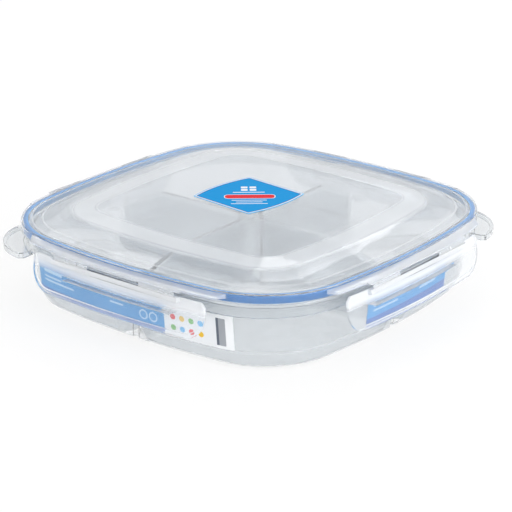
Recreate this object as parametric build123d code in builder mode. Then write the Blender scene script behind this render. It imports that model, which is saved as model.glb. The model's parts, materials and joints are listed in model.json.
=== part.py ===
from build123d import *
import os
from math import atan2, cos, degrees, radians, sin, sqrt, tan

os.makedirs("parts", exist_ok=True)

# A square four-compartment snack box. Its lid closes on a silicone seal and is held by four flaps,
# one on each side, that swing on thin webs and snap under the flange of the tray.
# Millimetres, +Z up, the origin under the middle of the base, the front towards -Y.

# Plan of the lid's rim: a square with bowed sides and round corners
rim_width = 268.0
side_radius = 544.0
corner_radius = 67.6

# Tray
flange_top = 49.0
tray_wall = 2.0
floor_thickness = 2.0
wall_draft = 5.0
well_draft = 4.0
wall_inset = 6.0
base_radius = 11.0
base_band_height = 14.0
base_band_step = 0.5
rounding_steps = 2
flange_inset = 3.0
flange_thickness = 2.6
flange_lip_depth = 9.0
flange_lip_wall = 1.6
sealing_rib_height = 1.3
sealing_rib_width = 1.2

# Cross divider, folded up from the floor and open underneath
divider_rise = 3.0
divider_foot = 9.4
divider_level_reach = 80.0
divider_end_drop = 15.0
divider_roof = 3.5
groove_foot = 5.2
groove_crest = 1.0
well_floor_radius = 8.0
well_corner_margin = 1.0
well_corner_share = 0.78

# Lifting ears on two opposite corners of the tray
ear_inset = 3.0
ear_radius = 41.0
ear_corner_bevel = 2.8
ear_drop = 7.0
ear_plate = 1.6
ear_lip_depth = 4.0
ear_lip_wall = 2.4

# Lid
lid_gap = 1.0
skirt_height = 7.0
lid_wall = 1.4
rim_edge_bevel = 0.8
rim_shelf = 15.0
border_reach = 34.0
border_rise = 3.4
bead_width = 2.0
bead_rise = 0.9
inner_border_width = 15.0
inner_border_rise = 0.9
panel_step_width = 2.0
panel_step_rise = 0.8

# Seal in the lid's channel
seal_width = 3.1
seal_clearance = 0.3
seal_side_clearance = 0.35

# Flaps and their hinges
hinge_reach = 5.2
hinge_window = 3.0
hinge_web_wall = 0.5
hinge_web_gap = 0.4
web_inner = 22.0
web_outer = 51.0
rail_half_length = 54.0
rail_height = 3.4
flap_rail_reach = 0.3
flap_rail_depth = 3.0
ledge_root_half_length = 84.0
ledge_tip_half_length = 75.0
ledge_height = 4.0
ledge_edge = 1.2
ledge_reach = 4.8
flap_half_length = 73.0
flap_drop = 25.4
flap_wall = 1.8
flap_reach = 6.0
flap_corner_radius = 15.0
flap_top_bevel = 3.0
flap_frame_width = 3.0
flap_frame_depth = 0.7
latch_height = 3.0
latch_half_length = 46.0
latch_clearance = 0.4
latch_hook = 0.7
flap_rest_angle = 6.5

# Labels
label_wall = 0.3
label_gap = 0.05
lid_label_length = 51.5
lid_label_width = 55.5
lid_label_bow = 4.0
lid_label_centre = (-8.4, 8.5)
lid_label_turn = -5.0
strip_margin = 1.0
strip_height = 23.5
front_strip_span = (-86.0, 82.0)
right_strip_span = (-37.0, 54.0)

# Heights and places that follow from the sizes above
rim_half = rim_width / 2
skirt_bottom = flange_top + lid_gap
rim_top = skirt_bottom + skirt_height
channel_roof = rim_top - lid_wall
flange_lip_bottom = flange_top - flange_lip_depth
divider_top = flange_top + divider_rise
divider_end_height = flange_top - divider_end_drop
groove_top = divider_top - divider_roof
groove_end_height = divider_end_height - divider_roof
well_corner_radius = well_floor_radius + well_corner_margin
crown = [(rim_shelf, rim_top)]
crown.append((border_reach, crown[-1][1] + border_rise))
crown.append((crown[-1][0] + bead_width, crown[-1][1] + bead_rise))
crown.append((crown[-1][0] + inner_border_width, crown[-1][1] + inner_border_rise))
crown.append((crown[-1][0] + panel_step_width, crown[-1][1] + panel_step_rise))
panel_top = crown[-1][1]
hinge_offset = rim_half + hinge_reach
ledge_bottom = rim_top - ledge_height
hinge_height = ledge_bottom - hinge_window / 2
flap_top = ledge_bottom - hinge_window
flap_bottom = flap_top - flap_drop
web_middle = (web_inner + web_outer) / 2

# Where a bowed side meets a round corner
side_centre = rim_half - side_radius
corner_centre = (side_centre + sqrt(2 * (side_radius - corner_radius) ** 2 - side_centre**2)) / 2
side_angle = degrees(atan2(corner_centre, corner_centre - side_centre))


def turned(x, y, angle):
    """A point of the plan turned about the middle of the box."""
    turn = radians(angle)
    return (x * cos(turn) - y * sin(turn), x * sin(turn) + y * cos(turn))


def outline(inset, height):
    """The rim's rounded square, moved in by inset, as a face at that height."""
    with BuildSketch(Plane.XY.offset(height)) as square:
        with BuildLine():
            for quarter in range(4):
                angle = 90 * quarter
                side_middle = turned(side_centre, 0, angle)
                corner_middle = turned(corner_centre, corner_centre, angle)
                CenterArc(side_middle, side_radius - inset, angle - side_angle, 2 * side_angle)
                CenterArc(corner_middle, corner_radius - inset, angle + side_angle, 90 - 2 * side_angle)
        make_face()
    return square.sketch


def wall_inset_at(height):
    """How far the tray's outer face lies inside the rim at a height."""
    return wall_inset + (flange_top - height) * tan(radians(wall_draft))


def rounding(bottom, radius):
    """Heights and insets of the rings that round a wall into a floor."""
    turns = [radians(90 * step / rounding_steps) for step in range(rounding_steps + 1)]
    return [(bottom + radius * (1 - cos(turn)), radius * (1 - sin(turn))) for turn in turns]


def well_bevel(shrink):
    """Leg of the bevel at a well's corners, smaller by shrink than where its walls begin."""
    return well_corner_share * well_corner_radius - (2 - sqrt(2)) * shrink


def well_plan(height, shrink):
    """One well's outline in its rounded floor, smaller by shrink than where its walls begin."""
    near_side = divider_foot / 2 + shrink
    with BuildSketch(Plane.XY.offset(height)) as plan:
        add(outline(well_inset + shrink, 0))
        with Locations((near_side, near_side)):
            Rectangle(rim_half, rim_half, align=(Align.MIN, Align.MIN), mode=Mode.INTERSECT)
        corners = plan.vertices().filter_by(lambda corner: min(corner.X, corner.Y) < near_side + 1)
        chamfer(corners, well_bevel(shrink))
    return plan.sketch


def side_band(outer_inset, inner_inset, bottom, height, half_length):
    """A band along the bowed right side, between two insets from the rim."""
    with BuildPart() as band:
        extrude(outline(outer_inset, bottom), amount=height)
        extrude(outline(inner_inset, bottom), amount=height, mode=Mode.SUBTRACT)
        with Locations((0, 0, bottom)):
            Box(
                rim_width,
                2 * half_length,
                height,
                align=(Align.MIN, Align.CENTER, Align.MIN),
                mode=Mode.INTERSECT,
            )
    return band.part


# One of the four wells, from its rounded floor up
well_rings = rounding(floor_thickness, well_floor_radius)
walls_bottom = floor_thickness + well_floor_radius
well_inset = wall_inset_at(walls_bottom) + tray_wall
hollow_top = divider_top + 1
with BuildPart() as well:
    for (low, low_shrink), (high, high_shrink) in zip(well_rings, well_rings[1:]):
        spread = degrees(atan2(low_shrink - high_shrink, high - low))
        extrude(well_plan(low, low_shrink), amount=high - low, taper=-spread)
    extrude(well_plan(walls_bottom, 0), amount=hollow_top - walls_bottom, taper=-well_draft)

# Cut that lowers the top of a divider arm towards the wall
with BuildPart() as divider_slope:
    with BuildSketch(Plane.XZ):
        with BuildLine():
            Polyline(
                (divider_level_reach, divider_top),
                (rim_half - well_inset, divider_end_height),
                (rim_half, divider_end_height),
                (rim_half, hollow_top),
                (0, hollow_top),
                (0, divider_top),
                close=True,
            )
        make_face()
    extrude(amount=divider_foot, both=True)
    extrude(
        outline(well_inset, walls_bottom),
        amount=hollow_top - walls_bottom,
        taper=-well_draft,
        mode=Mode.INTERSECT,
    )

# Groove under one line of the divider, from wall to wall, that flares where it comes out
flare_start = rim_half - wall_inset_at(groove_end_height) - well_bevel(-tray_wall)
flare_half_width = groove_foot / 2 + rim_half - flare_start
with BuildPart() as groove:
    with BuildSketch(Plane.YZ):
        with BuildLine():
            Polyline(
                (-groove_foot / 2, 0),
                (groove_foot / 2, 0),
                (groove_crest / 2, groove_top),
                (-groove_crest / 2, groove_top),
                close=True,
            )
        make_face()
    extrude(amount=rim_half, both=True)
    with BuildSketch(Plane.XZ):
        with BuildLine():
            Polyline(
                (-rim_half, 0),
                (rim_half, 0),
                (rim_half, groove_end_height),
                (rim_half - well_inset, groove_end_height),
                (divider_level_reach, groove_top),
                (-divider_level_reach, groove_top),
                (well_inset - rim_half, groove_end_height),
                (-rim_half, groove_end_height),
                close=True,
            )
        make_face()
    extrude(amount=groove_foot, both=True, mode=Mode.INTERSECT)
    with BuildSketch():
        with BuildLine():
            Polyline(
                (flare_start, groove_foot / 2),
                (rim_half, flare_half_width),
                (rim_half, -flare_half_width),
                (flare_start, -groove_foot / 2),
                close=True,
            )
        make_face()
        mirror(about=Plane.YZ)
    extrude(amount=groove_end_height)

# Plan of the two ears: quarter discs outside the flange's lip
lip_inner_inset = flange_inset + flange_lip_wall
ear_centre = rim_half - ear_inset - ear_radius
with BuildSketch() as ears:
    with Locations((ear_centre, ear_centre)):
        Circle(ear_radius)
        Rectangle(rim_half, rim_half, align=(Align.MIN, Align.MIN), mode=Mode.INTERSECT)
    chamfer(ears.vertices().sort_by_distance((ear_centre, ear_centre))[-2:], ear_corner_bevel)
    mirror(about=Plane((0, 0, 0), z_dir=(1, 1, 0)))
    add(outline(flange_inset + flange_lip_wall / 2, 0), mode=Mode.SUBTRACT)

# Tray: drafted body on its base band, flange with its lip, sealing rib, ears, wells and grooves
ear_bottom = flange_top - ear_drop - ear_lip_depth
with BuildPart() as tray:
    extrude(outline(flange_inset, flange_lip_bottom), amount=flange_lip_depth)
    extrude(
        outline(lip_inner_inset, flange_lip_bottom),
        amount=flange_lip_depth - flange_thickness,
        mode=Mode.SUBTRACT,
    )
    base_rings = rounding(0, base_radius) + [(base_band_height, 0)]
    for (low, low_shrink), (high, high_shrink) in zip(base_rings, base_rings[1:]):
        low_ring = outline(wall_inset_at(low) + base_band_step + low_shrink, low)
        high_ring = outline(wall_inset_at(high) + base_band_step + high_shrink, high)
        loft([low_ring.face(), high_ring.face()], ruled=True)
    extrude(
        outline(wall_inset_at(base_band_height), base_band_height),
        amount=flange_top - base_band_height,
        taper=-wall_draft,
    )
    extrude(outline(well_inset, flange_top), amount=divider_rise)
    with BuildSketch(Plane.XY.offset(flange_top)):
        add(outline(flange_inset, 0))
        add(outline(flange_inset + sealing_rib_width, 0), mode=Mode.SUBTRACT)
    extrude(amount=sealing_rib_height)
    with BuildSketch(Plane.XY.offset(ear_bottom)):
        add(ears.sketch)
    extrude(amount=ear_lip_depth)
    with BuildSketch(Plane.XY.offset(ear_bottom)):
        offset(ears.sketch, -ear_lip_wall, kind=Kind.INTERSECTION)
    extrude(amount=ear_lip_depth - ear_plate, mode=Mode.SUBTRACT)
    with PolarLocations(0, 4):
        add(well.part, mode=Mode.SUBTRACT)
        add(divider_slope.part, mode=Mode.SUBTRACT)
    with PolarLocations(0, 2, angular_range=180):
        add(groove.part, mode=Mode.SUBTRACT)

# Ledge along the right side of the lid, sloping down from the rim
ledge_shoulder = ledge_bottom + ledge_edge
ledge_root = rim_top - rim_edge_bevel
with BuildPart() as ledge:
    extrude(outline(-ledge_reach, ledge_bottom), amount=ledge_edge)
    loft([outline(-ledge_reach, ledge_shoulder).face(), outline(0, ledge_root).face()], ruled=True)
    extrude(outline(lid_wall / 2, ledge_bottom), amount=ledge_height, mode=Mode.SUBTRACT)
    with BuildSketch(Plane.XY.offset(ledge_bottom)):
        with BuildLine():
            Polyline(
                (rim_half / 2, -ledge_root_half_length),
                (corner_centre + corner_radius - ledge_reach, -ledge_root_half_length),
                (hinge_offset, -ledge_tip_half_length),
                (hinge_offset, ledge_tip_half_length),
                (corner_centre + corner_radius - ledge_reach, ledge_root_half_length),
                (rim_half / 2, ledge_root_half_length),
                close=True,
            )
        make_face()
    extrude(amount=ledge_height, mode=Mode.INTERSECT)

# Lid: rim with its skirt, crowned top, channel for the seal, plug wall and hinge ledges
plug_inset = lid_wall + seal_width + 2 * seal_side_clearance
with BuildPart() as lid:
    extrude(outline(0, skirt_bottom), amount=skirt_height)
    chamfer(lid.edges().group_by(Axis.Z)[-1], rim_edge_bevel)
    for (low_inset, low), (high_inset, high) in zip(crown, crown[1:]):
        loft([outline(low_inset, low).face(), outline(high_inset, high).face()], ruled=True)
    with BuildSketch(Plane.XY.offset(skirt_bottom)):
        add(outline(lid_wall, 0))
        add(outline(plug_inset, 0), mode=Mode.SUBTRACT)
    extrude(amount=channel_roof - skirt_bottom, mode=Mode.SUBTRACT)
    extrude(
        outline(plug_inset + lid_wall, skirt_bottom),
        amount=channel_roof - skirt_bottom,
        mode=Mode.SUBTRACT,
    )
    underside = [outline(inset, height - lid_wall).face() for inset, height in (crown[0], crown[-1])]
    loft(underside, ruled=True, mode=Mode.SUBTRACT)
    with PolarLocations(0, 4):
        add(ledge.part)
        with Locations((hinge_offset, 0, ledge_bottom)):
            Box(
                hinge_reach + lid_wall / 2,
                2 * rail_half_length,
                ledge_edge,
                align=(Align.MAX, Align.CENTER, Align.MIN),
            )
        with Locations((hinge_offset, web_middle, ledge_bottom), (hinge_offset, -web_middle, ledge_bottom)):
            Box(
                hinge_web_wall,
                web_outer - web_inner,
                hinge_window - hinge_web_gap,
                align=(Align.MAX, Align.CENTER, Align.CENTER),
            )

# Seal: a tall ring in the channel, over the tray's sealing rib
seal_bottom = flange_top + sealing_rib_height + seal_clearance
with BuildPart() as seal:
    with BuildSketch(Plane.XY.offset(seal_bottom)):
        add(outline(lid_wall + seal_side_clearance, 0))
        add(outline(plug_inset - seal_side_clearance, 0), mode=Mode.SUBTRACT)
    extrude(amount=channel_roof - seal_bottom)

# Flap of the right side as it is when snapped shut
flap_outer_inset = -flap_reach
flap_face_inset = flap_outer_inset + flap_frame_depth
flap_back_inset = flap_outer_inset + flap_wall
latch_bottom = flange_lip_bottom - latch_clearance - latch_height
latch_inset = flange_inset + latch_hook
with BuildPart() as flap_plate:
    with BuildSketch(Plane.YZ.offset(rim_half / 2)) as flap_outline:
        with Locations((0, flap_bottom)):
            Rectangle(2 * flap_half_length, flap_drop, align=(Align.CENTER, Align.MIN))
        fillet(flap_outline.vertices().group_by(Axis.Y)[0], flap_corner_radius)
        chamfer(flap_outline.vertices().group_by(Axis.Y)[-1], flap_top_bevel)
    extrude(amount=rim_half)
    add(
        side_band(flap_outer_inset, flap_back_inset, flap_bottom, flap_drop, flap_half_length),
        mode=Mode.INTERSECT,
    )

# Its face inside the border, open at the top
with BuildPart() as flap_recess:
    with BuildSketch(Plane.YZ.offset(rim_half / 2)):
        offset(flap_outline.sketch_local, -flap_frame_width)
        with Locations((0, flap_top)):
            Rectangle(
                2 * (flap_half_length - flap_frame_width),
                flap_frame_width + flap_top_bevel,
                align=(Align.CENTER, Align.MAX),
            )
    extrude(amount=rim_half)
    add(
        side_band(flap_outer_inset - 1, flap_face_inset, flap_bottom, flap_drop, flap_half_length),
        mode=Mode.INTERSECT,
    )

with BuildPart() as shut_flap:
    add(flap_plate.part)
    add(flap_recess.part, mode=Mode.SUBTRACT)
    with Locations((hinge_offset + flap_rail_reach, 0, flap_top)):
        Box(
            flap_rail_reach + flap_rail_depth,
            2 * rail_half_length,
            rail_height,
            align=(Align.MAX, Align.CENTER, Align.MAX),
        )
    with Locations((hinge_offset, web_middle, flap_top), (hinge_offset, -web_middle, flap_top)):
        Box(
            hinge_web_wall,
            web_outer - web_inner,
            hinge_window - hinge_web_gap,
            align=(Align.MAX, Align.CENTER, Align.CENTER),
        )
    latch_root = flap_back_inset - flap_wall / 2
    add(side_band(latch_root, latch_inset, latch_bottom, latch_height, latch_half_length))

pieces = {"tray": tray, "lid": lid, "seal": seal}
hinge_line = Axis((hinge_offset, 0, hinge_height), (0, -1, 0))
for quarter, side in enumerate(["right", "rear", "left", "front"]):
    with BuildPart() as flap:
        add(shut_flap.part.rotate(hinge_line, flap_rest_angle).rotate(Axis.Z, 90 * quarter))
    pieces[f"flap_{side}"] = flap

# Label in the middle of the lid
label_x, label_y = lid_label_centre
with BuildPart() as lid_label:
    with BuildSketch(Plane((label_x, label_y, panel_top)).rotated((0, 0, lid_label_turn))):
        with BuildLine():
            for end in (1, -1):
                corner = Vector(end * lid_label_length / 2, end * lid_label_width / 2)
                low = Vector(corner.X, -corner.Y)
                crest = Vector(end * (lid_label_length / 2 + lid_label_bow), 0)
                ThreePointArc(low, crest, corner)
                Line(corner, (-corner.X, corner.Y))
        make_face()
    extrude(amount=label_wall)
pieces["lid_label"] = lid_label

# Strip labels on the front and right walls
strip_bottom = base_band_height + strip_margin
for side, turn, (strip_start, strip_end) in (("front", 0, front_strip_span), ("right", 90, right_strip_span)):
    with BuildPart() as strip:
        skin_inset = wall_inset_at(strip_bottom) - label_gap
        extrude(outline(skin_inset - label_wall, strip_bottom), amount=strip_height, taper=-wall_draft)
        extrude(outline(skin_inset, strip_bottom), amount=strip_height, taper=-wall_draft, mode=Mode.SUBTRACT)
        with BuildSketch(Plane.XZ.rotated((0, 0, turn)).offset(rim_half / 2)):
            with Locations(((strip_start + strip_end) / 2, strip_bottom + strip_height / 2)):
                Rectangle(strip_end - strip_start, strip_height)
        extrude(amount=rim_half, mode=Mode.INTERSECT)
    pieces[f"{side}_label"] = strip

for name, piece in pieces.items():
    piece.part.label = name
    export_step(piece.part, f"parts/{name}.step")
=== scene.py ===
import json
from math import atan2, cos, pi, radians, sin, sqrt

import bmesh
import bpy
from mathutils import Matrix, Vector


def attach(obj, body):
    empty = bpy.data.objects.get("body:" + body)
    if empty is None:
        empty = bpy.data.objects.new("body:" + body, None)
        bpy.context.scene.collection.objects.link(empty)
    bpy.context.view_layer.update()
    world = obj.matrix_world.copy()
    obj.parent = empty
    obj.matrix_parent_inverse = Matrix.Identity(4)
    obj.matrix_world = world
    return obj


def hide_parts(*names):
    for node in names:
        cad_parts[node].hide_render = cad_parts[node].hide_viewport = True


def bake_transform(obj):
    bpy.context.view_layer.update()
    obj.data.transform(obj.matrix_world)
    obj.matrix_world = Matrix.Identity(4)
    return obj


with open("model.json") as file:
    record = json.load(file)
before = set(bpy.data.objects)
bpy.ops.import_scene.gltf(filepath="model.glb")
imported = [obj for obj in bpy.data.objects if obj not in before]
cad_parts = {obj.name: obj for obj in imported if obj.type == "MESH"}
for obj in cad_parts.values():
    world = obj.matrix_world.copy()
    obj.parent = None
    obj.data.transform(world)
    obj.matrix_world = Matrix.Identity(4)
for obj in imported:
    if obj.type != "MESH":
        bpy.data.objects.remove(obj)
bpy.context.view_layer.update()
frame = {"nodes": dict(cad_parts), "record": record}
MM = 0.001
nodes = frame["nodes"]

# The photograph's view: where the camera stands, its lens, and how far it is aimed off the base's middle
VIEW_AZIMUTH = radians(38.715)
VIEW_ELEVATION = radians(21.034)
VIEW_DISTANCE = 1.3451
VIEW_LENS = 136.72
SENSOR_WIDTH = 36
NEAR_CLIP = 0.01
AIM_RIGHT = 3.6 * MM
AIM_UP = 21.4 * MM

# Plastics and rubber, as linear values
TRAY_TINT = (0.850, 0.875, 0.895, 1)
LID_TINT = (0.940, 0.962, 0.990, 1)
FLAP_TINT = (0.965, 0.980, 1.0, 1)
WEB_TINT = (0.90, 0.93, 0.96, 1)
SEAL_BLUE = (0.010, 0.165, 0.47, 1)
SEAL_PALE = (0.020, 0.23, 0.60, 1)
# Paler blues painted on the seal: a painted sheen, and a painted highlight along its inner edge
SEAL_SHEEN_PAINT = (0.06, 0.42, 0.92, 1)
SEAL_HIGHLIGHT_PAINT = (0.10, 0.50, 1.0, 1)

# Inks of the labels
INK_BLUE = (0.0, 0.30, 0.70, 1)
INK_DEEP = (0.01, 0.13, 0.48, 1)
INK_SKY = (0.12, 0.50, 0.88, 1)
INK_PALE = (0.45, 0.68, 0.90, 1)
INK_NAVY = (0.02, 0.06, 0.32, 1)
INK_WHITE = (0.86, 0.88, 0.90, 1)
INK_RED = (0.78, 0.02, 0.035, 1)
INK_GREY = (0.36, 0.38, 0.41, 1)
INK_SLATE = (0.13, 0.15, 0.19, 1)
INK_GREEN = (0.16, 0.50, 0.12, 1)
INK_YELLOW = (0.86, 0.55, 0.06, 1)

# Roughness of each plastic and how much it bends light
TRAY_SKIN = (0.05, 1.2)
LID_SKIN = (0.07, 1.2)
FLAP_SKIN = (0.10, 1.12)
WEB_SKIN = (0.25, 1.2)

# How clear the plastics are, from 0 to 1
# The tray's "line" is a painted white highlight line: milky plastic where the base band steps in
TRAY_CLEAR = {"wall": 0.90, "base": 0.84, "line": 0.66}
LID_CLEAR = {"rail": 0.6, "rim": 0.985, "shelf": 0.93, "slope": 0.88, "border": 0.61, "panel": 0.84}
# How milky the lid's painted white highlight lines are
LID_HIGHLIGHT_MILK = 0.24
FLAP_CLEAR = {"middle": 0.89, "border": 0.42}
HOOK_MILK = 0.12
WEB_CLEAR = 0.55

# Where their clearness changes, in millimetres of height, or of distance in from the rim's outline
BASE_BAND = 14.0
BASE_BLEND = 1.5
# Half widths of the painted white highlight line at the base band's step
BASE_HIGHLIGHT_LINE = (0.3, 0.9)
LID_STEPS = (
    ("rail", "rim", (-0.5, 0.1)), ("rim", "shelf", (6.0, 7.5)), ("shelf", "slope", (13.0, 15.0)),
    ("slope", "border", (32.0, 37.0)), ("border", "panel", (49.0, 54.0)),
)
# Insets of the lid's painted white highlight lines, and their widths
LID_HIGHLIGHT_LINES = (7.6, 14.6)
LID_HIGHLIGHT_WIDTH = (0.25, 0.8)
FLAP_BORDER = (39.5, 44.0)
FLAP_HOOK = (26.0, 28.5)

# Surface of the plastics: noise scales are bumps to the metre
CLOUD_SCALE = 38
CLOUD_SPREAD = (0.35, 0.65)
CLOUD_SHADE = 0.975
HAZE_SCALE = 90
HAZE_SPREAD = (0.6, 1.5)
SCRATCH_SCALE = 70
SCRATCH_WIDTH = 0.006
SCRATCH_BEND = 0.02
SCRATCH_SHARE = 0.56
SCRATCH_ROUGH = 0.04
FOOT_ROUGH = 0.22
FOOT_HEIGHT = 2.0
RIPPLE_SCALE = 60
RIPPLE_DEPTH = 0.02 * MM
RIPPLE_STRENGTH = 0.5
COAT = {"Coat Weight": 0.35, "Coat Roughness": 0.06, "Coat IOR": 1.5}

# Surface of the rubber and of the printed film
RUBBER_SCALE = 60
RUBBER_SPECKLE = 900
RUBBER_ROUGH = (0.32, 0.5)
# Insets in millimetres where the seal's painted sheen grows, and where its painted inner highlight lies
RUBBER_SHEEN_BAND = (1.97, 4.33)
RUBBER_HIGHLIGHT_BAND = (4.63, 5.03)
FILM_MOTTLE = 420
FILM_MOTTLE_SHARE = 0.03
FILM_GRAIN = 260
FILM_ROUGH = (0.26, 0.42)
FILM_BENDING = 1.06
FILM_STRENGTH = 0.6
SKIN_DEPTH = 0.04 * MM

# Studio: a lamp is its name, place, aim, size and power
FLOOR_SIZE = 12
FLOOR_WHITE = (0.93, 0.93, 0.93, 1)
FLOOR_GLOW = 1.03
FLOOR_GLOW_SHARE = 0.8
SKY_WHITE = (1, 1, 1, 1)
SKY_FILL = 0.7
SKY_MIRRORED = 0.85
LAMPS = (
    ("key", (1.8, -0.4, 0.9), (0, 0, 0.03), 1.3, 22),
    ("front", (-0.4, -1.9, 0.6), (0, 0, 0.03), 0.8, 5),
    ("rear", (-0.6, 1.4, 1.5), (0, 0, 0.05), 1.0, 8),
)
BOUNCES = {
    "max_bounces": 32, "transmission_bounces": 32, "glossy_bounces": 32,
    "diffuse_bounces": 8, "transparent_max_bounces": 24,
}

# Sizes that the scene shares with the solids, in millimetres
RIM_HALF = 134.0
SIDE_RADIUS = 544.0
CORNER_RADIUS = 67.6
SEAL_INSETS = (1.47, 5.13)
SEAL_HEIGHTS = (50.6, 55.52)
RAIL_TOP = (53.9, 54.5)
RAIL_OUT = 138.5
HINGE = (139.2, 51.5)
WEB_SPAN = (22.0, 51.0)
WEB_WALL = 0.5
REST_ANGLE = radians(6.5)

# A bending web: its slices, how far it goes each side of the hinge line, and how proud it is of the halves
WEB_STEPS = 10
WEB_REACH = 0.9
WEB_PROUD = 0.03

# The seal's section: its shoulders, small corners, lips and the groove between them
SEAL_SHOULDER = 0.7
SEAL_CORNER = 0.2
SEAL_LIP = 0.6
SEAL_CHAMFER = 0.15
SEAL_GROOVE = (0.3, 0.35)

# Skins of the solids: how far apart points are one, what counts as flat and as sharp, the round on a
# sharp edge, how many times its width the faces beside it need, and how far the rail's top slopes down
WELD = 0.002 * MM
FLAT_ANGLE = radians(0.6)
SHARP_ANGLE = radians(36)
EDGE_ROUND = 0.3 * MM
EDGE_ROOM = 2.2
RAIL_DROP = 0.4

# The lid label's outline and borders, in millimetres, and its print in a frame turned by 45 degrees
LABEL_CENTRE = (-8.4, 8.5)
LABEL_TURN = radians(-5)
LABEL_HALF = (25.75, 27.75)
LABEL_BOW = 4.0
LABEL_BORDERS = ((INK_WHITE, -0.6), (INK_NAVY, -1.5), (INK_BLUE, -2.1))
PRINT_TURN = radians(45)
TILE_RISE = 13.0
TILE = ((3.0, 2.6), (2.3, 1.9), 0.7)
PLATE = ((0.5, -3.4), (17, 3.6), 2.6)
PLATE_BORDER = 0.6
LID_BARS = (
    ((0, 5.4), (11, 0.6), 0.5), ((0, -11.0), (12.0, 0.5), 0.4), ((0, -14.6), (9.0, 0.5), 0.4),
    ((0, -18.0), (12.5, 0.5), 0.4),
)

# The strips' prints, in millimetres along the wall and above the floor: places, half sizes, corner radii
STRIP_LOW = 15.0
BAR_RADIUS = 0.6
FRONT_FOOT = STRIP_LOW + 3.4
FRONT_BARS = (
    ((-66, 31), (13, 1.1)), ((-70, 27), (9, 0.7)), ((-64, 24.2), (15, 0.7)), ((-6, 30), (9, 1.1)),
    ((-9, 26.4), (6, 0.7)),
)
RINGS = ((14, 24.5), (22, 24.5))
RING_RADIUS = 3.0
RING_LINE = 0.5
WHITE_END = 31.0
DOT_RADIUS = 2.0
DOTS = (
    ((38, 29), INK_RED), ((45, 29), INK_YELLOW), ((52, 29), INK_GREEN), ((59, 29), INK_SKY),
    ((38, 21.5), INK_GREEN), ((45, 21.5), INK_SKY), ((52, 21.5), INK_RED), ((59, 21.5), INK_YELLOW),
)
GREY_BAR = ((74, 26.5), (3, 9.5), 0.5)
SLATE_BAR = ((71.4, 26.5), (0.9, 9.5), 0.3)
RIGHT_FOOT = STRIP_LOW + 5.5
RIGHT_BARS = (
    ((-12, 28.5), (19, 1.1)), ((-18, 25.0), (13, 0.7)), ((24, 29.5), (4, 2.0)), ((35, 29.5), (4, 2.0)),
    ((30, 25.0), (10, 0.7)),
)


def rim_centres():
    """The centres of the rim's side and corner arcs on the right, and the angle where the two meet."""
    side_centre = RIM_HALF - SIDE_RADIUS
    gap = SIDE_RADIUS - CORNER_RADIUS
    corner_centre = (side_centre + sqrt(2 * gap**2 - side_centre**2)) / 2
    return side_centre, corner_centre, atan2(corner_centre, corner_centre - side_centre)


def link(name, data):
    """A new object in the scene."""
    made = bpy.data.objects.new(name, data)
    bpy.context.scene.collection.objects.link(made)
    return made


def place_camera():
    """The camera, at the photograph's angle."""
    back = Vector((
        sin(VIEW_AZIMUTH) * cos(VIEW_ELEVATION),
        -cos(VIEW_AZIMUTH) * cos(VIEW_ELEVATION),
        sin(VIEW_ELEVATION),
    ))
    right = Vector((cos(VIEW_AZIMUTH), sin(VIEW_AZIMUTH), 0))
    up = back.cross(right)
    data = bpy.data.cameras.new("camera")
    data.lens = VIEW_LENS
    data.sensor_width = SENSOR_WIDTH
    data.clip_start = NEAR_CLIP
    camera = link("camera", data)
    camera.location = back * VIEW_DISTANCE + right * AIM_RIGHT + up * AIM_UP
    camera.rotation_euler = (-back).to_track_quat("-Z", "Y").to_euler()
    bpy.context.scene.camera = camera


def add_lamp(name, place, aim, size, power):
    """A square soft box."""
    data = bpy.data.lights.new(name, "AREA")
    data.size = size
    data.energy = power
    lamp = link(name, data)
    lamp.location = place
    lamp.rotation_euler = (Vector(aim) - Vector(place)).to_track_quat("-Z", "Y").to_euler()


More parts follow.
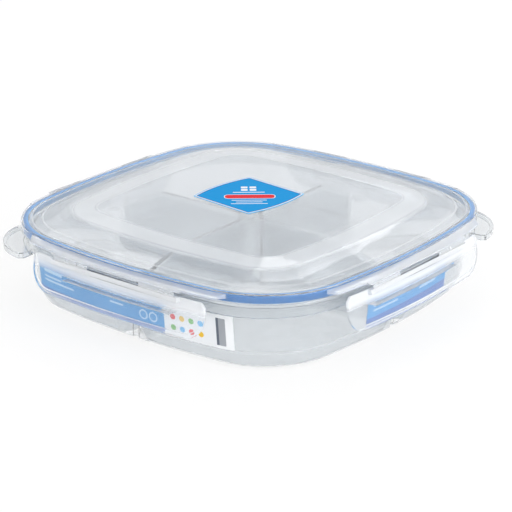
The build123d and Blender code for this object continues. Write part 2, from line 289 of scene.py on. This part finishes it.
class Tree:
    """Short ways to add nodes to a material's tree."""

    def __init__(self, tree):
        self.tree = tree
        tree.nodes.clear()

    def node(self, kind, **values):
        """A node, with its settings and its inputs, which are values or the outputs of other nodes."""
        made = self.tree.nodes.new(kind)
        inputs = values.pop("inputs", {})
        for key, value in values.items():
            setattr(made, key, value)
        for key, value in inputs.items():
            if isinstance(value, bpy.types.NodeSocket):
                self.tree.links.new(value, made.inputs[key])
            else:
                made.inputs[key].default_value = value
        return made

    def math(self, operation, *values):
        """One sum on numbers."""
        return self.node("ShaderNodeMath", operation=operation, inputs=dict(enumerate(values))).outputs[0]

    def mix(self, share, under, over):
        """Two colours mixed, where share is how much of the second shows."""
        inputs = {0: share, 6: under, 7: over}
        return self.node("ShaderNodeMix", data_type="RGBA", inputs=inputs).outputs[2]

    def point(self):
        """The place in the box's frame, in metres."""
        return self.node("ShaderNodeTexCoord").outputs["Object"]

    def place(self):
        """The place in the box's frame, as X, Y and Z in millimetres."""
        scaled = self.node("ShaderNodeVectorMath", operation="SCALE", inputs={0: self.point(), 3: 1 / MM})
        return self.node("ShaderNodeSeparateXYZ", inputs={0: scaled.outputs[0]}).outputs

    def noise(self, scale, detail=4.0):
        """Even noise from 0 to 1, scale bumps to the metre."""
        inputs = {"Vector": self.point(), "Scale": scale, "Detail": detail}
        return self.node("ShaderNodeTexNoise", inputs=inputs).outputs["Fac"]

    def scratches(self, scale, width):
        """Fine hair lines, 1 on a line and 0 off it."""
        bent = self.node("ShaderNodeTexNoise", inputs={"Vector": self.point(), "Scale": scale / 3})
        moved = self.node(
            "ShaderNodeVectorMath",
            operation="MULTIPLY_ADD",
            inputs={0: bent.outputs["Color"], 1: (SCRATCH_BEND,) * 3, 2: self.point()},
        )
        cells = self.node(
            "ShaderNodeTexVoronoi",
            feature="DISTANCE_TO_EDGE",
            inputs={"Vector": moved.outputs[0], "Scale": scale},
        )
        line = self.math("LESS_THAN", cells.outputs["Distance"], width)
        return self.math("MULTIPLY", line, self.math("GREATER_THAN", self.noise(scale / 2, 1), SCRATCH_SHARE))

    def spread(self, value, low, high, start=0.0, end=1.0):
        """A value between start and end moved to the range from low to high."""
        inputs = {0: value, 1: start, 2: end, 3: low, 4: high}
        return self.node("ShaderNodeMapRange", inputs=inputs).outputs[0]

    def bump(self, height, depth, strength=1.0):
        """A normal from a height, where depth is in metres."""
        inputs = {"Height": height, "Distance": depth, "Strength": strength}
        return self.node("ShaderNodeBump", inputs=inputs).outputs[0]

    def apart(self, value, middle):
        """How far a value is from a middle."""
        return self.math("ABSOLUTE", self.math("SUBTRACT", value, middle))

    def turned(self, across, along, centre, angle):
        """Two coordinates moved to a centre and turned by an angle."""
        across = self.math("SUBTRACT", across, centre[0])
        along = self.math("SUBTRACT", along, centre[1])
        return (
            self.math("MULTIPLY_ADD", across, cos(angle), self.math("MULTIPLY", along, sin(angle))),
            self.math("MULTIPLY_ADD", along, cos(angle), self.math("MULTIPLY", across, -sin(angle))),
        )

    def plate(self, across, along, centre, half, radius):
        """How far a point is outside a rounded plate; negative inside."""
        over = [
            self.math("ADD", self.apart(value, middle), radius - size)
            for value, middle, size in zip((across, along), centre, half)
        ]
        outside = [self.math("MAXIMUM", value, 0.0) for value in over]
        squares = [self.math("MULTIPLY", value, value) for value in outside]
        length = self.math("SQRT", self.math("ADD", *squares))
        inner = self.math("MINIMUM", self.math("MAXIMUM", *over), 0.0)
        return self.math("SUBTRACT", self.math("ADD", length, inner), radius)

    def rim_inset(self):
        """How far a point is inside the rim's bowed square, in millimetres."""
        x, y, _ = self.place()
        across, along = self.math("ABSOLUTE", x), self.math("ABSOLUTE", y)
        far, near = self.math("MAXIMUM", across, along), self.math("MINIMUM", across, along)
        side_centre, corner_centre, side_angle = rim_centres()
        from_side = self.math("SUBTRACT", far, side_centre)
        on_side = self.math("LESS_THAN", self.math("ARCTAN2", near, from_side), side_angle)
        from_corner = [self.math("SUBTRACT", value, corner_centre) for value in (far, near)]
        insets = []
        for run, rise, radius in ((from_side, near, SIDE_RADIUS), (*from_corner, CORNER_RADIUS)):
            squares = self.math("MULTIPLY_ADD", run, run, self.math("MULTIPLY", rise, rise))
            insets.append(self.math("SUBTRACT", radius, self.math("SQRT", squares)))
        gap = self.math("SUBTRACT", insets[0], insets[1])
        return self.math("MULTIPLY_ADD", gap, on_side, insets[1])

    def paint(self, under, distance, colour, edge=0.0):
        """A colour laid where a distance is under edge."""
        return self.mix(self.math("LESS_THAN", distance, edge), under, colour)

    def finish(self, surface):
        """Ends the tree in its output."""
        self.node("ShaderNodeOutputMaterial", inputs={"Surface": surface})


def new_material(name):
    """An empty material and its tree."""
    material = bpy.data.materials.new(name)
    material.use_nodes = True
    return material, Tree(material.node_tree)


def plastic(name, tint, clearness_of, skin):
    """Moulded polypropylene: cloudy or clear, glossy, with flow ripple, a scuffed foot and hair scratches."""
    material, tree = new_material(name)
    clearness = clearness_of(tree) if callable(clearness_of) else clearness_of
    haze, bending = skin
    height = tree.place()[2]
    cloud = tree.spread(tree.noise(CLOUD_SCALE, 3), 0.0, 1.0, *CLOUD_SPREAD)
    deeper = tuple(CLOUD_SHADE * c for c in tint[:3]) + (1,)
    scuffs = tree.scratches(SCRATCH_SCALE, SCRATCH_WIDTH)
    foot = tree.spread(height, FOOT_ROUGH, 0.0, 0.0, FOOT_HEIGHT)
    uneven = tree.spread(tree.noise(HAZE_SCALE), haze * HAZE_SPREAD[0], haze * HAZE_SPREAD[1])
    rough = tree.math("MULTIPLY_ADD", scuffs, SCRATCH_ROUGH, tree.math("ADD", uneven, foot))
    shader = tree.node(
        "ShaderNodeBsdfPrincipled",
        inputs={
            "Base Color": tree.mix(cloud, tint, deeper),
            "Roughness": rough,
            "IOR": bending,
            "Transmission Weight": clearness,
            "Normal": tree.bump(tree.noise(RIPPLE_SCALE, 2), RIPPLE_DEPTH, RIPPLE_STRENGTH),
            **COAT,
        },
    )
    tree.finish(shader.outputs[0])
    return material


def tray_clearness(tree):
    """The tray's plastic: clear walls over a cloudier base, and a painted white highlight line where the base
    band steps in.
    """
    height = tree.place()[2]
    band = (BASE_BAND - BASE_BLEND, BASE_BAND + BASE_BLEND)
    clearness = tree.spread(height, TRAY_CLEAR["base"], TRAY_CLEAR["wall"], *band)
    # Painted white highlight line: milkier plastic in a thin band at the step
    milk = TRAY_CLEAR["wall"] - TRAY_CLEAR["line"]
    line = tree.spread(tree.apart(height, BASE_BAND), milk, 0.0, *BASE_HIGHLIGHT_LINE)
    return tree.math("SUBTRACT", clearness, line)


def lid_clearness(tree):
    """The lid's plastic: milky at the rails and the panel's border, clear over the seal, with painted white
    highlight lines.
    """
    inset = tree.rim_inset()
    clearness = LID_CLEAR["rail"]
    for outer, inner, edges in LID_STEPS:
        change = tree.spread(inset, 0.0, LID_CLEAR[inner] - LID_CLEAR[outer], *edges)
        clearness = tree.math("ADD", clearness, change)
    # Painted white highlight lines: the plastic made milky along two thin rings
    for line in LID_HIGHLIGHT_LINES:
        milk = tree.spread(tree.apart(inset, line), LID_HIGHLIGHT_MILK, 0.0, *LID_HIGHLIGHT_WIDTH)
        clearness = tree.math("SUBTRACT", clearness, milk)
    return clearness


def flap_clearness(tree):
    """A flap's plastic: clear over its middle, milky along its top and where the hook is."""
    height = tree.place()[2]
    upper = tree.spread(height, FLAP_CLEAR["middle"], FLAP_CLEAR["border"], *FLAP_BORDER)
    lower = tree.spread(height, HOOK_MILK, 0.0, *FLAP_HOOK)
    return tree.math("SUBTRACT", upper, lower)


def silicone():
    """Soft blue rubber, a little uneven in colour, with a painted sheen paler towards its inner edge and a
    painted highlight at that edge, and a satin skin.
    """
    material, tree = new_material("seal_silicone")
    speckle = tree.noise(RUBBER_SPECKLE, 3)
    body = tree.mix(tree.noise(RUBBER_SCALE), SEAL_BLUE, SEAL_PALE)
    inset = tree.rim_inset()
    # Painted sheen that grows paler inwards, then a painted highlight at the seal's inner edge
    sheen_band = tree.spread(inset, 0.0, 1.0, *RUBBER_SHEEN_BAND)
    inner = tree.spread(inset, 0.0, 1.0, *RUBBER_HIGHLIGHT_BAND)
    shader = tree.node(
        "ShaderNodeBsdfPrincipled",
        inputs={
            "Base Color": tree.mix(inner, tree.mix(sheen_band, body, SEAL_SHEEN_PAINT), SEAL_HIGHLIGHT_PAINT),
            "Roughness": tree.spread(speckle, *RUBBER_ROUGH),
            "Normal": tree.bump(speckle, SKIN_DEPTH),
        },
    )
    tree.finish(shader.outputs[0])
    return material


def film(name, colour_of):
    """Printed plastic film: the print, a faint mottle in the ink, and a satin skin with small creases."""
    material, tree = new_material(name)
    mottle = tree.spread(tree.noise(FILM_MOTTLE, 3), 0.0, FILM_MOTTLE_SHARE)
    grain = tree.noise(FILM_GRAIN, 2)
    shader = tree.node(
        "ShaderNodeBsdfPrincipled",
        inputs={
            "Base Color": tree.mix(mottle, colour_of(tree), INK_WHITE),
            "Roughness": tree.spread(grain, *FILM_ROUGH),
            "IOR": FILM_BENDING,
            "Normal": tree.bump(grain, SKIN_DEPTH, FILM_STRENGTH),
        },
    )
    tree.finish(shader.outputs[0])
    return material


def lid_print(tree):
    """The lid label: a blue field with keylines, a group of four tiles, a red plate and thin bars."""
    x, y, _ = tree.place()
    across, along = tree.turned(x, y, LABEL_CENTRE, LABEL_TURN)
    half_across, half_along = LABEL_HALF
    share = tree.math("DIVIDE", along, half_along)
    square = tree.math("MULTIPLY", share, share)
    bowed = tree.math("MULTIPLY_ADD", square, -LABEL_BOW, half_across + LABEL_BOW)
    reach = tree.math("SUBTRACT", tree.math("ABSOLUTE", across), bowed)
    sides = tree.math("SUBTRACT", tree.math("ABSOLUTE", along), half_along)
    edge = tree.math("MAXIMUM", reach, sides)
    ink = INK_SKY
    for colour, inward in LABEL_BORDERS:
        ink = tree.paint(ink, edge, colour, inward)
    run, rise = tree.turned(across, along, (0, 0), PRINT_TURN)
    tiles = tree.plate(tree.math("ABSOLUTE", run), tree.apart(rise, TILE_RISE), *TILE)
    ink = tree.paint(ink, tiles, INK_WHITE)
    plate = tree.plate(run, rise, *PLATE)
    ink = tree.paint(ink, plate, INK_WHITE, PLATE_BORDER)
    ink = tree.paint(ink, plate, INK_RED)
    for bar in LID_BARS:
        ink = tree.paint(ink, tree.plate(run, rise, *bar), INK_WHITE)
    return ink


def front_print(tree):
    """The front strip: a blue field with bars and rings, then a white end with dots and a grey bar."""
    x, _, z = tree.place()
    ink = INK_BLUE
    for bar in FRONT_BARS:
        ink = tree.paint(ink, tree.plate(x, z, *bar, BAR_RADIUS), INK_PALE)
    for centre in RINGS:
        ring = tree.plate(x, z, centre, (RING_RADIUS, RING_RADIUS), RING_RADIUS)
        ink = tree.paint(ink, tree.math("ABSOLUTE", ring), INK_PALE, RING_LINE)
    ink = tree.paint(ink, z, INK_DEEP, FRONT_FOOT)
    ink = tree.mix(tree.math("GREATER_THAN", x, WHITE_END), ink, INK_WHITE)
    for centre, colour in DOTS:
        ink = tree.paint(ink, tree.plate(x, z, centre, (DOT_RADIUS, DOT_RADIUS), DOT_RADIUS), colour)
    ink = tree.paint(ink, tree.plate(x, z, *GREY_BAR), INK_GREY)
    return tree.paint(ink, tree.plate(x, z, *SLATE_BAR), INK_SLATE)


def right_print(tree):
    """The right strip: a blue field over a darker foot, with bars and small plates."""
    _, y, z = tree.place()
    ink = INK_BLUE
    for bar in RIGHT_BARS:
        ink = tree.paint(ink, tree.plate(y, z, *bar, BAR_RADIUS), INK_PALE)
    return tree.paint(ink, z, INK_DEEP, RIGHT_FOOT)


def floor_material():
    """White floor that stays white where it is seen, also through the box, and keeps a soft shadow."""
    material, tree = new_material("floor_white")
    path = tree.node("ShaderNodeLightPath")
    seen = tree.math("MAXIMUM", path.outputs["Is Camera Ray"], path.outputs["Is Glossy Ray"])
    seen = tree.math("MAXIMUM", seen, path.outputs["Is Transmission Ray"])
    share = tree.math("MULTIPLY", seen, FLOOR_GLOW_SHARE)
    diffuse = tree.node("ShaderNodeBsdfDiffuse", inputs={"Color": FLOOR_WHITE})
    glow = tree.node("ShaderNodeEmission", inputs={"Color": SKY_WHITE, "Strength": FLOOR_GLOW})
    mixed = tree.node("ShaderNodeMixShader", inputs={0: share, 1: diffuse.outputs[0], 2: glow.outputs[0]})
    tree.finish(mixed.outputs[0])
    return material


def build_stage():
    """The floor, the world and the lamps."""
    bpy.ops.mesh.primitive_plane_add(size=FLOOR_SIZE, location=(0, 0, 0))
    floor = bpy.context.object
    floor.name = "floor"
    floor.data.materials.append(floor_material())
    world = bpy.data.worlds.new("studio")
    bpy.context.scene.world = world
    world.use_nodes = True
    tree = Tree(world.node_tree)
    path = tree.node("ShaderNodeLightPath")
    seen = tree.math("MAXIMUM", path.outputs["Is Camera Ray"], path.outputs["Is Transmission Ray"])
    mirrored = tree.spread(path.outputs["Is Glossy Ray"], SKY_FILL, SKY_MIRRORED)
    strength = tree.math("MAXIMUM", seen, mirrored)
    sky = tree.node("ShaderNodeBackground", inputs={"Color": SKY_WHITE, "Strength": strength})
    tree.node("ShaderNodeOutputWorld", inputs={"Surface": sky.outputs[0]})
    for lamp in LAMPS:
        add_lamp(*lamp)


def dress(name, material):
    """Gives a CAD node one material."""
    mesh = nodes[name].data
    mesh.materials.clear()
    mesh.materials.append(material)


def body_of(name):
    """The body that a node moves with."""
    bodies = frame["record"]["behaviour"]["bodies"]
    return next(body for body, held in bodies.items() if name in held)


def room_beside(edge, face):
    """How far a face reaches from one of its edges."""
    start, end = (vert.co for vert in edge.verts)
    along = (end - start).normalized()
    return max((vert.co - start - along * (vert.co - start).dot(along)).length for vert in face.verts)


def slope_rails(shape):
    """Lowers the outer edge of the top of the lid's rails, so that they shed to the outside."""
    for vert in shape.verts:
        outer = max(abs(vert.co.x), abs(vert.co.y)) > RAIL_OUT * MM
        if outer and RAIL_TOP[0] < vert.co.z / MM < RAIL_TOP[1]:
            vert.co.z -= RAIL_DROP * MM


def soften(name, material):
    """A copy of a CAD node, smooth, with its sharp edges rounded where the faces beside them have room."""
    source = nodes[name].data
    mesh = bpy.data.meshes.new(f"{name}_skin")
    mesh.from_pydata([v.co[:] for v in source.vertices], [], [p.vertices[:] for p in source.polygons])
    shape = bmesh.new()
    shape.from_mesh(mesh)
    bmesh.ops.remove_doubles(shape, verts=shape.verts, dist=WELD)
    if name == "lid":
        slope_rails(shape)
    bmesh.ops.dissolve_limit(shape, angle_limit=FLAT_ANGLE, verts=shape.verts, edges=shape.edges)
    for face in shape.faces:
        face.smooth = True
    rounded = shape.edges.layers.float.new("bevel_weight_edge")
    for edge in shape.edges:
        if len(edge.link_faces) == 2 and edge.calc_face_angle() > SHARP_ANGLE:
            edge.smooth = False
            room = min(room_beside(edge, face) for face in edge.link_faces)
            edge[rounded] = room > EDGE_ROOM * EDGE_ROUND
    shape.to_mesh(mesh)
    shape.free()
    mesh.materials.append(material)
    piece = link(f"{name}_skin", mesh)
    bevel = piece.modifiers.new("rounded_edges", "BEVEL")
    bevel.width = EDGE_ROUND
    bevel.segments = 2
    bevel.limit_method = "WEIGHT"
    bevel.use_clamp_overlap = False
    flat = piece.modifiers.new("flat_faces", "WEIGHTED_NORMAL")
    flat.keep_sharp = True
    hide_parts(name)
    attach(piece, body_of(name))


def rim_outline(inset, side_steps=20, corner_steps=26):
    """Points round the rim's bowed square, moved in by inset, in millimetres."""
    side_centre, corner_centre, side_angle = rim_centres()
    side_reach, corner_reach = SIDE_RADIUS - inset, CORNER_RADIUS - inset
    quarter = []
    for step in range(side_steps):
        angle = side_angle * (2 * step / side_steps - 1)
        quarter.append(Vector((side_centre + side_reach * cos(angle), side_reach * sin(angle))))
    for step in range(corner_steps):
        angle = side_angle + (pi / 2 - 2 * side_angle) * step / corner_steps
        along, up = corner_reach * cos(angle), corner_reach * sin(angle)
        quarter.append(Vector((corner_centre + along, corner_centre + up)))
    return [Matrix.Rotation(turn * pi / 2, 2) @ point for turn in range(4) for point in quarter]


def seal_ring(material):
    """The seal: a soft ring with rounded shoulders and a groove along its foot for the tray's rib."""
    outer, inner = SEAL_INSETS
    foot, top = SEAL_HEIGHTS
    middle = (inner + outer) / 2
    groove_half, groove_top = SEAL_GROOVE[0], foot + SEAL_GROOVE[1]
    section = [
        (outer, foot + SEAL_LIP), (outer, top - SEAL_SHOULDER), (outer + SEAL_CORNER, top - SEAL_CORNER),
        (outer + SEAL_SHOULDER, top), (inner - SEAL_SHOULDER, top), (inner - SEAL_CORNER, top - SEAL_CORNER),
        (inner, top - SEAL_SHOULDER), (inner, foot + SEAL_LIP), (inner - SEAL_CORNER, foot + SEAL_CHAMFER),
        (inner - SEAL_LIP, foot), (middle + groove_half, groove_top), (middle - groove_half, groove_top),
        (outer + SEAL_LIP, foot), (outer + SEAL_CORNER, foot + SEAL_CHAMFER),
    ]
    rings = [[(p.x * MM, p.y * MM, z * MM) for p in rim_outline(inset)] for inset, z in section]
    count = len(rings[0])
    faces = []
    for low in range(len(rings)):
        high = (low + 1) % len(rings)
        for step in range(count):
            after = (step + 1) % count
            faces.append((
                low * count + step, low * count + after, high * count + after, high * count + step
            ))
    mesh = bpy.data.meshes.new("seal_ring")
    mesh.from_pydata([point for ring in rings for point in ring], [], faces)
    for polygon in mesh.polygons:
        polygon.use_smooth = True
    mesh.materials.append(material)
    piece = link("seal_ring", mesh)
    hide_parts("seal")
    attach(piece, "lid")


def hinge_web(side, quarter, start, end, material):
    """One thin bending web of a flap, from the lid's half over the hinge line to the flap's half."""
    steps, reach, proud = WEB_STEPS, WEB_REACH, WEB_PROUD
    hinge_x, hinge_z = HINGE
    verts = []
    for step in range(steps + 1):
        down = reach - 2 * reach * step / steps
        lean = REST_ANGLE * min(1.0, max(0.0, 0.5 - down / reach))
        for depth in (proud, -WEB_WALL - proud):
            x = hinge_x + depth * cos(lean) - min(down, 0) * sin(lean)
            z = hinge_z + down * cos(lean)
            for y in (start, end):
                verts.append((x, y, z))
    faces = [(0, 1, 3, 2), tuple(4 * steps + k for k in (2, 3, 1, 0))]
    for step in range(steps):
        low, high = 4 * step, 4 * step + 4
        for a, b in ((0, 1), (1, 3), (3, 2), (2, 0)):
            faces.append((low + b, low + a, high + a, high + b))
    mesh = bpy.data.meshes.new("web")
    turn = Matrix.Rotation(quarter * pi / 2, 4, "Z")
    mesh.from_pydata([turn @ Vector(v) * MM for v in verts], [], faces)
    mesh.materials.append(material)
    web = link(f"web_{side}_{'a' if start < 0 else 'b'}", mesh)
    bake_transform(web)


place_camera()
build_stage()

soften("tray", plastic("clear_plastic", TRAY_TINT, tray_clearness, TRAY_SKIN))
soften("lid", plastic("lid_plastic", LID_TINT, lid_clearness, LID_SKIN))
flap_plastic = plastic("flap_plastic", FLAP_TINT, flap_clearness, FLAP_SKIN)
for side in ("front", "right", "rear", "left"):
    soften(f"flap_{side}", flap_plastic)
seal_ring(silicone())
dress("lid_label", film("lid_film", lid_print))
dress("front_label", film("front_film", front_print))
dress("right_label", film("right_film", right_print))

web_plastic = plastic("web_plastic", WEB_TINT, WEB_CLEAR, WEB_SKIN)
for quarter, side in enumerate(("right", "rear", "left", "front")):
    hinge_web(side, quarter, WEB_SPAN[0], WEB_SPAN[1], web_plastic)
    hinge_web(side, quarter, -WEB_SPAN[1], -WEB_SPAN[0], web_plastic)

scene = bpy.context.scene
scene.view_settings.view_transform = "Standard"
for setting, most in BOUNCES.items():
    setattr(scene.cycles, setting, most)
